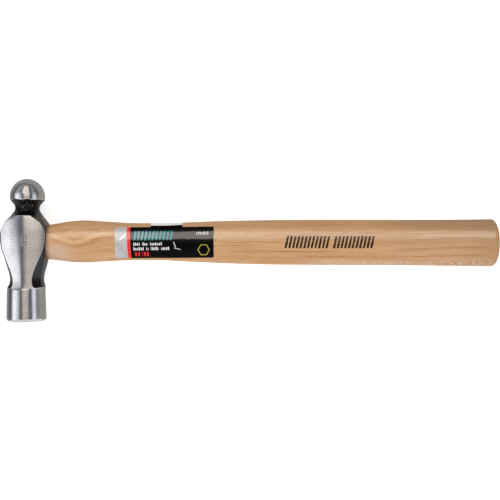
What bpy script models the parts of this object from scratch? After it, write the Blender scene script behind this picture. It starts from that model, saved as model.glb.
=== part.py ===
"""Ball peen hammer, lying on its side.

+X runs along the handle from the head to the butt, +Y runs along the head's axis from the
striking face to the ball, and +Z is up. The origin is the middle of the bounding box's base.
The design is written in millimetres from the point where the head's axis crosses the handle's
axis, and every object's mesh is placed from there into the part's frame in metres.
"""

import math

import bmesh
import bpy
from mathutils import Vector

MM = 0.001
GAP = 0.3                     # clearance kept between neighbouring pieces

# Head, heights are along its axis from the handle's axis
BALL_RADIUS = 12.25
BALL_RISE = 12.85             # the ball is slightly taller than it is wide
BALL_CENTRE = 32.4
BALL_SHOULDER = 30.1          # where the ball's surface ends in a corner above the neck
POLL_RADIUS = 13.9
FACE_HEIGHT = -56.2           # the striking face
FACE_RADIUS = 11.2
CHEEK_CURVE = 33.0            # radius of the gently rounded ground cheeks
BODY_HALF_WIDTH = 16.7
BODY_HALF_DEPTH = 14.0

# Handle, stations are along its axis from the head's axis
HANDLE_START = -14.8          # the end grain lies a little inside the eye
BUTT_END = 337.0
DOME_LENGTH = 6.0
DOME_POWER = 2.5
OVAL_POWER = 2.25             # a little fuller than an ellipse
SHOULDER = BODY_HALF_WIDTH + 0.5

# Wedges
WOOD_WEDGE_LENGTH = 22.0
WOOD_WEDGE_HALF = 1.9
STEEL_WEDGE_LENGTH = 14.0
STEEL_WEDGE_HALF = 1.3
STEEL_WEDGE_WIDTH = 11.4
STEEL_WEDGE_OFFSET = 5.2
STEEL_WEDGE_PROUD = 0.3

# Label
LABEL_START = 64.3
LABEL_END = 133.6
LABEL_BOTTOM = -10.9
LABEL_TOP = 10.3
TAB_START = 89.0
TAB_END = 111.5
LABEL_THICKNESS = 0.35

HEAD_X = -(BUTT_END - BODY_HALF_WIDTH) / 2
AXIS_Y = -(BALL_CENTRE + BALL_RISE + FACE_HEIGHT) / 2
AXIS_Z = BODY_HALF_DEPTH

# Body of the head, from the poll's rim up to the round neck:
# height, half width, half depth, cheek half width, half depth of the flat side, roundness
BODY_SECTIONS = [
    (-31.8, 13.3, 13.3, 9.4, 9.4, 1.0),
    (-31.0, 12.6, 13.0, 8.2, 7.8, 0.6),
    (-29.4, 11.6, 12.9, 7.1, 6.0, 0.2),
    (-26.5, 11.2, 12.9, 6.6, 5.0, 0.0),
    (-22.5, 11.7, 13.1, 7.3, 5.0, 0.0),
    (-18.5, 12.7, 13.4, 8.8, 5.6, 0.0),
    (-13.5, 13.8, 13.7, 11.0, 6.8, 0.0),
    (-7.5, 15.2, 13.9, 13.4, 7.8, 0.0),
    (0.0, 16.5, BODY_HALF_DEPTH, 15.2, 8.8, 0.0),
    (5.0, BODY_HALF_WIDTH, BODY_HALF_DEPTH, 15.5, 9.2, 0.0),
    (8.5, 16.4, BODY_HALF_DEPTH, 14.9, 8.8, 0.0),
    (12.0, 15.3, 13.9, 13.4, 7.8, 0.0),
    (14.9, 13.9, 13.7, 10.7, 6.8, 0.0),
    (17.2, 12.0, 13.5, 7.4, 6.0, 0.15),
    (18.6, 11.0, 13.2, 5.6, 6.0, 0.35),
    (19.8, 10.5, 11.4, 5.4, 5.4, 0.8),
]
# Round neck: height, radius
NECK_PROFILE = [(21.3, 9.6), (22.6, 8.75), (24.2, 8.4), (25.8, 8.7), (27.6, 9.8)]
# Poll from its rim down to the striking face: height, radius
POLL_PROFILE = [(FACE_HEIGHT, FACE_RADIUS), (-56.0, 12.1), (-55.3, 13.0), (-54.2, 13.65),
                (-52.6, POLL_RADIUS), (-46.0, 13.75), (-39.0, 13.55), (-32.6, 13.3)]

# Eye: station along the handle, half height, half depth
EYE_PROFILE = [(-18.5, 13.4, 8.6), (-16.4, 13.0, 8.2), (-8.0, 12.1, 7.4), (0.0, 11.9, 7.2),
               (8.0, 12.1, 7.4), (16.4, 12.6, 7.9), (18.5, 12.9, 8.2)]

# Handle outside the eye: station, half height, half depth
HANDLE_PROFILE = [
    (17.2, 12.7, 10.3),
    (22.5, 13.4, 10.7),
    (31.0, 14.5, 11.2),
    (41.0, 15.1, 11.5),
    (52.5, 14.5, 11.1),
    (66.5, 13.7, 10.6),
    (80.0, 13.2, 10.3),
    (97.0, 13.25, 10.4),
    (110.0, 13.8, 10.8),
    (130.0, 14.7, 11.5),
    (152.0, 15.4, 12.2),
    (181.0, 15.95, 12.7),
    (216.0, 16.15, 12.9),
    (266.0, 16.25, 13.0),
    (302.0, 16.6, 13.3),
    (331.0, 17.0, 13.6),
]


def clear_scene():
    """Remove every object of the scene that is open."""
    for obj in list(bpy.data.objects):
        bpy.data.objects.remove(obj, do_unlink=True)


def place(across, up, depth):
    """A design point in millimetres (along handle, along head axis, depth), in metres."""
    return Vector(((HEAD_X + across) * MM, (AXIS_Y + up) * MM, (AXIS_Z + depth) * MM))


def make_material(name, color, roughness, metallic=0.0):
    """A plain Principled material."""
    material = bpy.data.materials.new(name)
    material.use_nodes = True
    shader = material.node_tree.nodes["Principled BSDF"]
    shader.inputs["Base Color"].default_value = (*color, 1.0)
    shader.inputs["Roughness"].default_value = roughness
    shader.inputs["Metallic"].default_value = metallic
    return material


def make_object(name, mesh_builder, material, sharp_angle=30.0):
    """Link a new object whose mesh is the given bmesh."""
    mesh = bpy.data.meshes.new(name)
    bmesh.ops.recalc_face_normals(mesh_builder, faces=mesh_builder.faces)
    mesh_builder.to_mesh(mesh)
    mesh_builder.free()
    mesh.shade_smooth()
    mesh.set_sharp_from_angle(angle=math.radians(sharp_angle))
    obj = bpy.data.objects.new(name, mesh)
    bpy.context.scene.collection.objects.link(obj)
    if material is not None:
        mesh.materials.append(material)
    return obj


def loft(rings):
    """A closed solid through rings of design points, capped by a flat face at both ends."""
    builder = bmesh.new()
    loops = [[builder.verts.new(place(*point)) for point in ring] for ring in rings]
    for low, high in zip(loops, loops[1:]):
        for i, vertex in enumerate(low):
            j = (i + 1) % len(low)
            builder.faces.new((vertex, low[j], high[j], high[i]))
    builder.faces.new(loops[0])
    builder.faces.new(loops[-1])
    return builder


def oval(station, half_height, half_depth, count=32):
    """A full oval across the handle's axis."""
    ring = []
    for i in range(count):
        angle = math.tau * i / count
        up = math.copysign(abs(math.cos(angle)) ** (2 / OVAL_POWER), math.cos(angle))
        depth = math.copysign(abs(math.sin(angle)) ** (2 / OVAL_POWER), math.sin(angle))
        ring.append((station, half_height * up, half_depth * depth))
    return ring


def smooth_value(profile, station):
    """Catmull-Rom interpolation of a profile's columns at a station."""
    last = len(profile) - 1
    i = 0
    while i < last - 1 and station > profile[i + 1][0]:
        i += 1
    before, start, end, after = (profile[max(0, min(last, i + k))] for k in (-1, 0, 1, 2))
    span = end[0] - start[0]
    t = (station - start[0]) / span
    values = []
    for a, b, c, d in zip(before[1:], start[1:], end[1:], after[1:]):
        slope_in = (c - a) / (end[0] - before[0]) * span
        slope_out = (d - b) / (after[0] - start[0]) * span
        values.append((2 * t**3 - 3 * t**2 + 1) * b + (t**3 - 2 * t**2 + t) * slope_in
                      + (3 * t**2 - 2 * t**3) * c + (t**3 - t**2) * slope_out)
    return values


def cheek_quadrant(half_width, half_depth, cheek, side):
    """One quarter of a body section, from the middle of the cheek to the middle of the side."""
    arc = [cheek * k / 4 for k in range(5)]
    points = [(x, half_depth - CHEEK_CURVE + math.sqrt(CHEEK_CURVE**2 - x * x)) for x in arc]
    edge_x, edge_z = points[-1]
    for k in (1, 2, 3):
        points.append((edge_x + (half_width - edge_x) * k / 3, edge_z + (side - edge_z) * k / 3))
    points.append((half_width, side / 2))
    points.append((half_width, 0.0))
    return points


def round_quadrant(half_width, half_depth):
    """The same quarter as an ellipse, with as many points."""
    angles = [math.radians(90 - 10 * k) for k in range(10)]
    return [(half_width * math.cos(a), half_depth * math.sin(a)) for a in angles]


def head_ring(height, quadrant):
    """Mirror a quarter section into a closed ring at a height on the head's axis."""
    right = quadrant + [(x, -z) for x, z in reversed(quadrant[:-1])]
    left = [(-x, z) for x, z in reversed(right[1:-1])]
    return [(x, height, z) for x, z in right + left]


def body_ring(height, half_width, half_depth, cheek, side, roundness):
    """A body section between its faceted and its round form."""
    faceted = cheek_quadrant(half_width, half_depth, cheek, side)
    rounded = round_quadrant(half_width, half_depth)
    mixed = [(fx + (rx - fx) * roundness, fz + (rz - fz) * roundness)
             for (fx, fz), (rx, rz) in zip(faceted, rounded)]
    return head_ring(height, mixed)


def round_ring(height, radius):
    """A round section of the head."""
    return head_ring(height, round_quadrant(radius, radius))


def ball_rings(steps=12, top_angle=84.0):
    """The ball from its shoulder to a small flat at its top."""
    first = math.degrees(math.asin((BALL_SHOULDER - BALL_CENTRE) / BALL_RISE))
    rings = []
    for k in range(steps + 1):
        angle = math.radians(first + (top_angle - first) * k / steps)
        rings.append(round_ring(BALL_CENTRE + BALL_RISE * math.sin(angle),
                                BALL_RADIUS * math.cos(angle)))
    rings.append(round_ring(BALL_CENTRE + BALL_RISE, BALL_RADIUS * 0.02))
    return rings


def head_rings():
    """Every section of the head, from the striking face to the ball's top."""
    rings = [round_ring(*point) for point in POLL_PROFILE]
    rings += [body_ring(*section) for section in BODY_SECTIONS]
    rings += [round_ring(*point) for point in NECK_PROFILE]
    return rings + ball_rings()


def tongue_rings(start):
    """The part of the handle that fills the eye, with clearance all round."""
    stations = [start] + [row[0] for row in EYE_PROFILE if start < row[0] < SHOULDER - GAP]
    stations.append(SHOULDER - GAP)
    rings = []
    for station in stations:
        half_height, half_depth = smooth_value(EYE_PROFILE, station)
        rings.append(oval(station, half_height - GAP, half_depth - GAP))
    return rings


def handle_rings():
    """Every section of the handle, from its end in the eye to the butt."""
    rings = tongue_rings(HANDLE_START)
    dome_start = HANDLE_PROFILE[-1][0]
    count = 40
    for k in range(count + 1):
        station = SHOULDER + (dome_start - SHOULDER) * k / count
        rings.append(oval(station, *smooth_value(HANDLE_PROFILE, station)))
    half_height, half_depth = HANDLE_PROFILE[-1][1:]
    for t in (0.3, 0.55, 0.75, 0.89, 0.97, 1.0):
        scale = max((1 - t**DOME_POWER) ** (1 / DOME_POWER), 0.2)
        rings.append(oval(dome_start + DOME_LENGTH * t, half_height * scale, half_depth * scale))
    return rings


def tapered_block(start, end, heights, depths, middle=0.0):
    """A block along the handle with half heights and half depths at its start and its end."""
    rings = []
    for station, half_height, half_depth in zip((start, end), heights, depths):
        corners = ((1, 1), (1, -1), (-1, -1), (-1, 1))
        rings.append([(station, middle + half_height * u, half_depth * d) for u, d in corners])
    return loft(rings)


def make_cutter(name, mesh_builder):
    """A guide object for a Boolean."""
    obj = make_object(name, mesh_builder, None)
    obj.hide_render = True
    obj.display_type = "WIRE"
    return obj


def add_boolean(obj, cutter, operation="DIFFERENCE"):
    """Cut an object with a cutter, or keep what is inside it."""
    modifier = obj.modifiers.new(cutter.name, "BOOLEAN")
    modifier.operation = operation
    modifier.solver = "EXACT"
    modifier.object = cutter


def make_head(material):
    """The one-piece forged head with its eye."""
    head = make_object("head", loft(head_rings()), material)
    eye = make_cutter("cutter_eye", loft([oval(*row) for row in EYE_PROFILE]))
    add_boolean(head, eye)


def make_steel_wedge(name, offset, material):
    """A cross wedge, wide in depth and thin along the head's axis, and its slot's cutter."""
    start = HANDLE_START - STEEL_WEDGE_PROUD
    end = HANDLE_START + STEEL_WEDGE_LENGTH
    heights = (STEEL_WEDGE_HALF, 0.35)
    depths = (STEEL_WEDGE_WIDTH / 2, STEEL_WEDGE_WIDTH / 2 - 0.5)
    make_object(name, tapered_block(start, end, heights, depths, offset), material)
    slot_heights = [value + GAP for value in heights]
    slot_depths = [value + GAP for value in depths]
    return make_cutter("cutter_" + name, tapered_block(start - 1, end + GAP, slot_heights,
                                                       slot_depths, offset))


def make_handle_and_wedges(wood, wedge_wood, steel):
    """The handle with its kerf, the wood wedge in the kerf and the two steel wedges."""
    slots = [make_steel_wedge("steel_wedge_peen_side", STEEL_WEDGE_OFFSET, steel),
             make_steel_wedge("steel_wedge_face_side", -STEEL_WEDGE_OFFSET, steel)]
    wide = 2 * POLL_RADIUS
    tip = HANDLE_START + WOOD_WEDGE_LENGTH
    kerf = make_cutter("cutter_kerf", tapered_block(
        HANDLE_START - 1, tip + GAP, (wide, wide), (WOOD_WEDGE_HALF + GAP, 0.4 + GAP)))
    handle = make_object("handle", loft(handle_rings()), wood)
    wedge = make_object("wood_wedge", tapered_block(
        HANDLE_START, tip, (wide, wide), (WOOD_WEDGE_HALF, 0.4)), wedge_wood)
    outline = make_cutter("cutter_tongue", loft(tongue_rings(HANDLE_START - 1)))
    add_boolean(wedge, outline, "INTERSECT")
    add_boolean(handle, kerf)
    for slot in slots:
        add_boolean(handle, slot)
        add_boolean(wedge, slot)


def label_path(station):
    """Points round the handle from the front panel's foot, over the top, to the back panel's.

    The first and last eight steps are the panels, and the six between them are the tab.
    """
    half_height, half_depth = (value + GAP for value in smooth_value(HANDLE_PROFILE, station))
    fractions = [LABEL_BOTTOM + (LABEL_TOP - LABEL_BOTTOM) * k / 8 for k in range(9)]
    path = []
    for up in fractions:
        depth = half_depth * (1 - abs(up / half_height) ** OVAL_POWER) ** (1 / OVAL_POWER)
        path.append((station, up, depth))
    edge = math.acos((LABEL_TOP / half_height) ** (OVAL_POWER / 2))
    for k in (1, 2, 3):
        angle = edge * (1 - k / 3)
        up = half_height * math.cos(angle) ** (2 / OVAL_POWER)
        path.append((station, up, half_depth * math.sin(angle) ** (2 / OVAL_POWER)))
    return path + [(x, up, -depth) for x, up, depth in reversed(path[:-1])]


def make_label(material):
    """The sticker: a front panel and a back panel joined by a tab over the handle's top."""
    stations = [LABEL_START, 77.0, TAB_START, 96.5, 104.0, TAB_END, 122.5, LABEL_END]
    builder = bmesh.new()
    rows = [[builder.verts.new(place(*point)) for point in label_path(s)] for s in stations]
    for station, low, high in zip(stations, rows, rows[1:]):
        has_tab = TAB_START <= station < TAB_END
        for j in range(len(low) - 1):
            if has_tab or j < 8 or j >= len(low) - 9:
                builder.faces.new((low[j], low[j + 1], high[j + 1], high[j]))
    loose = [vertex for vertex in builder.verts if not vertex.link_faces]
    bmesh.ops.delete(builder, geom=loose, context="VERTS")
    label = make_object("label", builder, material)
    solidify = label.modifiers.new("thickness", "SOLIDIFY")
    solidify.thickness = LABEL_THICKNESS * MM
    solidify.offset = 1.0


def main():
    """Build every piece of the hammer."""
    clear_scene()
    steel = make_material("forged_steel", (0.62, 0.61, 0.60), 0.28, 1.0)
    wood = make_material("hickory", (0.62, 0.36, 0.19), 0.42)
    wedge_wood = make_material("wedge_wood", (0.50, 0.27, 0.13), 0.6)
    wedge_steel = make_material("wedge_steel", (0.45, 0.45, 0.46), 0.4, 1.0)
    sticker = make_material("sticker", (0.02, 0.02, 0.022), 0.3)
    make_head(steel)
    make_handle_and_wedges(wood, wedge_wood, wedge_steel)
    make_label(sticker)


main()
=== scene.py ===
"""Looks of the ball peen hammer: fine meshes, node materials, studio and camera.

Sizes are in millimetres from the point where the head's axis crosses the handle's axis:
s runs along the handle towards the butt, h along the head towards the ball, d is depth, up.
"""
import math

import bmesh
import bpy
import numpy as np
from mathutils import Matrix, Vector, noise


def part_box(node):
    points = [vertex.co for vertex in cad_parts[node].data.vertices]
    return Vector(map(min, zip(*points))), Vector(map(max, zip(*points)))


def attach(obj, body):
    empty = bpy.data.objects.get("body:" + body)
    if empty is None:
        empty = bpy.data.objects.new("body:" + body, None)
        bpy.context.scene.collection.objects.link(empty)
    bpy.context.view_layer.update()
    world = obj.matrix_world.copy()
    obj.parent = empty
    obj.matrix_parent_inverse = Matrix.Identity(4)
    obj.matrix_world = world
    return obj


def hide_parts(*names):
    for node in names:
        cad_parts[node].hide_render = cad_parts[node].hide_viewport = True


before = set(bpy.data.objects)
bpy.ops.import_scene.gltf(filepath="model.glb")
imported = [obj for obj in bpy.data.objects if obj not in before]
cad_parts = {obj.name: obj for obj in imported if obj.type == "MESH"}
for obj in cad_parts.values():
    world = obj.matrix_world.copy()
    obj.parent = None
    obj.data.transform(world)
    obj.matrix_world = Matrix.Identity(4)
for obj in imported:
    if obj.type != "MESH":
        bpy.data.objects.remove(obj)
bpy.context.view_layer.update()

MM = 0.001

# Head
BALL_RADIUS = 12.2
BALL_RISE = 12.85
BALL_CENTRE = 32.4
BALL_SHOULDER = 30.1
POLL_RADIUS = 13.9
POLL_RIM = -32
POLL_RIM_RADIUS = 13.35
POLL_ROUNDING = 2.6
FACE_HEIGHT = -56.2
FACE_RADIUS = 10.9
CHEEK_CURVE = 33
RIGHT_CHEEK_CURVE = 39
CHEEK_TOP = 18.6
ROUND_CORNER = 9.4
RIM_DROOP = 1.5
FACE_TILT = 0.011

# Handle
HANDLE_START = -14.8
SHOULDER = 14.9
DOME_START = 330.4
DOME_LENGTH = 5.4
DOME_POWER = 2.15
OVAL_POWER = 2.25
CLEARANCE = 0.12

# Camera, over the middle plane
CAMERA = (159.07, -5.45, 600)
CAMERA_LENS = 60.56
SENSOR_WIDTH = 36

# Studio, with lengths in metres
WORLD_STRENGTH = 1.35
FLOOR_GLOW = 0.73
FLOOR_HALF = 6
SURROUND_RADIUS = 5.5
LIGHT_DISTANCE = 1.2

# Wedges
WOOD_WEDGE_LENGTH = 22
WOOD_WEDGE_HALF = 1.9
STEEL_WEDGE_LENGTH = 14
STEEL_WEDGE_HALF = 1.3
STEEL_WEDGE_WIDTH = 11.4
STEEL_WEDGE_OFFSET = 5.2
STEEL_WEDGE_PROUD = 0.3

# Label, its corners and its rise towards the butt
LABEL_START = 64.3
LABEL_END = 133.6
LABEL_BOTTOM = -11.85
LABEL_TOP = 9.85
LABEL_CORNER = 0.9
LABEL_SLOPE = 0.013
TAB_START = 89
TAB_END = 111.5
LABEL_THICKNESS = 0.12
LABEL_LIFT = 0.03
PANEL_COLUMNS = 32
WHITE_INK = (0.86, 0.86, 0.86)
GREY_INK = (0.6, 0.58, 0.56)
RED_INK = (0.72, 0.045, 0.04)
# Lines of dashes: along, across, the gaps between words, the dashes' pitch, colour
PRINT_LINES = (
    ((77, 97.6), (-2.6, -0.4), (82.4, 88.3), 1.28, WHITE_INK),
    ((77, 102.6), (-5.9, -3.7), (85.6, 88.6, 96), 1.28, WHITE_INK),
    ((77.9, 88.1), (-10, -6.7), (82.6,), 2.1, RED_INK),
    ((121.2, 130.6), (4.5, 6.8), (), 1.28, GREY_INK),
)

# The frame gives the places of the axes
head_low, head_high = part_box("head")
HEAD_X = (head_low[0] + head_high[0]) / 2 / MM
AXIS_Y = head_high[1] / MM - BALL_CENTRE - BALL_RISE
AXIS_Z = (head_low[2] + head_high[2]) / 2 / MM

# Body of the head: height, half width, half depth, cheek half width, half depth of the flat side
BODY = np.array([
    (-32, 13.3, 13.3, 9.4, 9.4),
    (-31, 12.6, 12.9, 8.2, 7.6),
    (-29.4, 11.6, 12.8, 6.9, 5.8),
    (-26.5, 11.15, 12.9, 6.6, 5),
    (-22.5, 11.7, 13.1, 7.4, 5),
    (-18.5, 12.7, 13.4, 8.8, 5.6),
    (-13.5, 13.75, 13.7, 11, 6.8),
    (-10, 14.4, 13.8, 12.5, 7.4),
    (-4, 16, 13.95, 14.6, 8.2),
    (0, 16.5, 14, 15.2, 8.8),
    (4, 16.7, 14, 15.5, 9.2),
    (7, 16.5, 14, 15.25, 9),
    (10.3, 15.8, 13.95, 14.2, 8.3),
    (13.3, 14.7, 13.85, 12.6, 7.4),
    (16, 12.9, 13.7, 9.3, 6.4),
    (17.6, 11.7, 13.6, 7, 5.9),
    (18.6, 10.95, 13.5, 5.5, 5.6),
    (20, 10.4, 11.2, 4.8, 4.6),
    (21.3, 9.6, 9.7, 4.2, 4),
    (22.6, 8.75, 8.8, 3.9, 3.7),
    (24.2, 8.4, 8.4, 3.7, 3.5),
])
# Share of roundness in a section, over the same heights
ROUNDNESS = np.array([(-32, 1), (-31, 0.5), (-29.4, 0.1), (-26.5, 0), (15.5, 0),
                      (18.6, 0.3), (20, 0.75), (21.3, 1), (24.2, 1)])
# Underside of the ball: height, radius
BALL_NECK = np.array([(24.2, 8.4), (25.2, 8.5), (26.3, 8.9), (27.7, 9.9), (29, 11), (29.8, 11.7)])
# How the forging strays from its axis: height, shift along the handle
STRAY = np.array([(-56.2, -0.25), (-46, -0.4), (-33.5, -0.5), (-30, -0.1), (-20, -0.2), (8, -0.25),
                  (14, -0.35), (19, 0), (24, 0.3), (28, 0.39), (45.3, 0.3)])
# The grinder left a facet on each cheek's left half: height, its slant, its ridge's softness,
# the rest of the half's curve
FACET = np.array([(-32, 0.10, 1.5, 40), (-27, 0.28, 1.5, 60), (-20, 0.27, 1.7, 60),
                  (-15, 0.24, 1.9, 60), (-9, 0.20, 2.2, 60), (1.7, 0.12, 3, 45),
                  (12, 0, 3.5, 36), (19, 0, 3.5, 36)])
# The same half is leaner: height, less half width, more cheek half width
LEAN = np.array([(-32, 0, 0), (-29, 0.45, 0.35), (-20, 0.6, 0.5), (-13, 0.45, 0.3),
                 (-8, 0, 0.1), (6, 0, 0), (10, 0.4, 0.1), (17, 0.6, 0.1),
                 (20, 0.3, 0), (22, 0, 0)])

# The eye and the handle: station, half height, half depth
EYE = np.array([(-18.5, 13.4, 8.6), (-17.3, 13.2, 8.4), (-16.4, 13, 8.2), (-8, 12.1, 7.4),
                (0, 11.9, 7.2), (8, 12.1, 7.4), (16.4, 12.6, 7.9), (18.5, 12.9, 8.2)])
HANDLE = np.array([
    (14, 12, 10.1), (22.5, 13.15, 10.7), (31, 14.4, 11.2), (41, 15, 11.5),
    (52.5, 14.45, 11.1), (66.5, 13.65, 10.6), (80, 13.2, 10.3), (97, 13.25, 10.4),
    (110, 13.85, 10.8), (130, 14.7, 11.5), (152, 15.4, 12.2), (181, 15.95, 12.7),
    (216, 16.15, 12.9), (266, 16.2, 13), (302, 16.45, 13.3), (331, 16.85, 13.6),
])
# The handle's slight bow: station, rise of its axis
BOW = np.array([(14.9, 0.25), (26, 0.48), (46, 0.7), (60, 0.6), (90, 0.5), (108, 0.3),
                (130, 0.24), (150, 0.09), (190, 0), (270, -0.16), (302, -0.34),
                (337, -0.32)])


# ---------------------------------------------------------------- geometry

def curve(table, at):
    """Monotone cubic interpolation of a table's columns at one or many places."""
    x = table[:, 0]
    y = table[:, 1:]
    gap = np.diff(x)[:, None]
    slope = np.diff(y, axis=0) / gap
    tangent = np.zeros_like(y)
    tangent[0], tangent[-1] = slope[0], slope[-1]
    before, after = slope[:-1], slope[1:]
    same = before * after > 0
    total = np.where(same, before + after, 1)
    tangent[1:-1] = np.where(same, 2 * before * after / total, 0)
    at = np.clip(np.atleast_1d(at), x[0], x[-1])
    i = np.clip(np.searchsorted(x, at, side="right") - 1, 0, len(x) - 2)
    t = ((at - x[i])[:, None]) / gap[i]
    return ((2 * t**3 - 3 * t**2 + 1) * y[i] + (t**3 - 2 * t**2 + t) * gap[i] * tangent[i]
            + (3 * t**2 - 2 * t**3) * y[i + 1] + (t**3 - t**2) * gap[i] * tangent[i + 1])


def world_points(points):
    """Design points in millimetres to the frame, in metres."""
    return (np.asarray(points, dtype=float) + (HEAD_X, AXIS_Y, AXIS_Z)) * MM


def new_object(name, mesh):
    """Link a mesh as an object of the scene."""
    obj = bpy.data.objects.new(name, mesh)
    bpy.context.scene.collection.objects.link(obj)
    return obj


def tube_mesh(name, rings):
    """A closed mesh through rings of equal length, each end closed by a fan round its middle."""
    rings = np.asarray(rings, dtype=float)
    rows, columns, _ = rings.shape
    points = world_points(rings.reshape(-1, 3))
    ends = world_points([rings[0].mean(axis=0), rings[-1].mean(axis=0)])
    faces = []
    for i in range(rows - 1):
        for j in range(columns):
            k = (j + 1) % columns
            faces.append((i * columns + j, i * columns + k, (i + 1) * columns + k, (i + 1) * columns + j))
    first, last = rows * columns, rows * columns + 1
    top = (rows - 1) * columns
    for j in range(columns):
        k = (j + 1) % columns
        faces.append((first, k, j))
        faces.append((last, top + j, top + k))
    mesh = bpy.data.meshes.new(name)
    mesh.from_pydata(np.vstack([points, ends]).tolist(), [], faces)
    builder = bmesh.new()
    builder.from_mesh(mesh)
    bmesh.ops.recalc_face_normals(builder, faces=builder.faces)
    builder.to_mesh(mesh)
    builder.free()
    return mesh


def apply_modifiers(obj):
    """Replace an object's mesh by its evaluated one."""
    depsgraph = bpy.context.evaluated_depsgraph_get()
    mesh = bpy.data.meshes.new_from_object(obj.evaluated_get(depsgraph))
    obj.modifiers.clear()
    obj.data = mesh


def cut(obj, *cutter_meshes, operation="DIFFERENCE"):
    """Cut an object with closed meshes and apply the result."""
    cutters = []
    for mesh in cutter_meshes:
        cutter = new_object("cutter", mesh)
        modifier = obj.modifiers.new("cut", "BOOLEAN")
        modifier.operation = operation
        modifier.solver = "EXACT"
        modifier.object = cutter
        cutters.append(cutter)
    apply_modifiers(obj)
    for cutter in cutters:
        bpy.data.objects.remove(cutter, do_unlink=True)


def smooth(obj, angle):
    """Smooth shading with sharp edges above an angle in degrees."""
    obj.data.shade_smooth()
    obj.data.set_sharp_from_angle(angle=math.radians(angle))


def fillet(before, corner, after, radius, steps):
    """Points of a fillet arc at a corner of an outline."""
    incoming = (corner - before) / np.linalg.norm(corner - before)
    outgoing = (after - corner) / np.linalg.norm(after - corner)
    turn = math.acos(np.clip(np.dot(incoming, outgoing), -1, 1))
    reach = min(radius * math.tan(turn / 2), 0.45 * np.linalg.norm(corner - before),
                0.45 * np.linalg.norm(after - corner))
    start, end = corner - incoming * reach, corner + outgoing * reach
    t = np.linspace(0, 1, steps + 1)[:, None]
    return (1 - t) ** 2 * start + 2 * t * (1 - t) * corner + t**2 * end


def span(start, end, steps):
    """Points between two points, without both of them."""
    t = (np.arange(1, steps) / steps)[:, None]
    return start + (end - start) * t


def cheek_drop(x, radius, slant, soft):
    """How far the cheek lies below its middle at a distance from it."""
    return x**2 / (2 * radius) + slant * (x - soft * (1 - np.exp(-x / soft)))


def section_quadrant(width, depth, cheek, side, roundness, slant=0, soft=3, radius=CHEEK_CURVE):
    """A quarter of a body section, from the middle of the cheek to the middle of the side."""
    edge = np.array((cheek, depth - cheek_drop(cheek, radius, slant, soft)))
    corner = np.array((width, min(side, edge[1] - 0.8)))
    foot = np.array((width, 0))
    near = np.array((cheek - 1, depth - cheek_drop(cheek - 1, radius, slant, soft)))
    edge_fillet = fillet(near, edge, corner, 0.35, 5)
    corner_radius = 2 + 3 * np.clip((width - 12) / 3.5, 0, 1)
    corner_fillet = fillet(edge, corner, foot, corner_radius, 8)
    arc_x = edge_fillet[0][0] * (np.arange(16) / 16) ** 1.3
    arc = np.stack([arc_x, depth - cheek_drop(arc_x, radius, slant, soft)], axis=1)
    points = np.vstack([arc, edge_fillet, span(edge_fillet[-1], corner_fillet[0], 8),
                        corner_fillet, span(corner_fillet[-1], foot, 6), foot[None]])
    polar = np.arctan2(points[:, 1], points[:, 0])
    reach = np.hypot(points[:, 0], points[:, 1])
    ellipse = 1 / np.sqrt((np.cos(polar) / width) ** 2 + (np.sin(polar) / depth) ** 2)
    reach = reach + (ellipse - reach) * roundness
    return np.stack([reach * np.cos(polar), reach * np.sin(polar)], axis=1)


def ring_from_quadrants(right, left, height):
    """A closed ring from the quarters right and left of the cheek's middle, mirrored in depth."""
    right = np.vstack([right, right[-2::-1] * (1, -1)])
    left = np.vstack([left, left[-2::-1] * (1, -1)]) * (-1, 1)
    whole = np.vstack([right, left[-2:0:-1]])
    return np.stack([whole[:, 0], np.full(len(whole), height), whole[:, 1]], axis=1)


def head_ring(height):
    """The section of the head's body at a height."""
    width, depth, cheek, side = curve(BODY, height)[0]
    roundness = curve(ROUNDNESS, height)[0][0]
    slant, soft, left_curve = curve(FACET, height)[0]
    less, more = curve(LEAN, height)[0]
    right = section_quadrant(width, depth, cheek + 0.15, side, roundness, 0, 3, RIGHT_CHEEK_CURVE)
    left = section_quadrant(width - less, depth, cheek + more, side, roundness, slant, soft, left_curve)
    return ring_from_quadrants(right, left, height)


def round_ring(height, radius):
    """A circle with the columns of the body's sections."""
    corner = ROUND_CORNER * radius / POLL_RIM_RADIUS
    quadrant = section_quadrant(radius, radius, corner, corner, 1)
    return ring_from_quadrants(quadrant, quadrant, height)


def steps_between(*stops):
    """Heights between (height, count) stops, the count being that of the stretch after it."""
    heights = []
    for (low, count), (high, _) in zip(stops, stops[1:]):
        heights.extend(np.linspace(low, high, count, endpoint=False))
    heights.append(stops[-1][0])
    return heights


def poll_rings():
    """The round poll, from the middle of the striking face to the rim."""
    rings = [round_ring(FACE_HEIGHT, radius) for radius in (0.6, 4, 8, 10, 10.6)]
    for angle in np.linspace(0, math.pi / 2, 14):
        rings.append(round_ring(FACE_HEIGHT + POLL_ROUNDING * (1 - math.cos(angle)),
                                FACE_RADIUS + (POLL_RADIUS - FACE_RADIUS) * math.sin(angle)))
    start = FACE_HEIGHT + POLL_ROUNDING
    end = POLL_RIM - 0.45
    for t in np.linspace(0.08, 1, 14):
        rings.append(round_ring(start + (end - start) * t,
                                POLL_RADIUS + (POLL_RIM_RADIUS - POLL_RADIUS) * t))
    for t in (0.35, 0.65, 0.88):
        rings.append(round_ring(end + 0.4 * t, POLL_RIM_RADIUS - 0.08 * t**2))
    return rings


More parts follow.
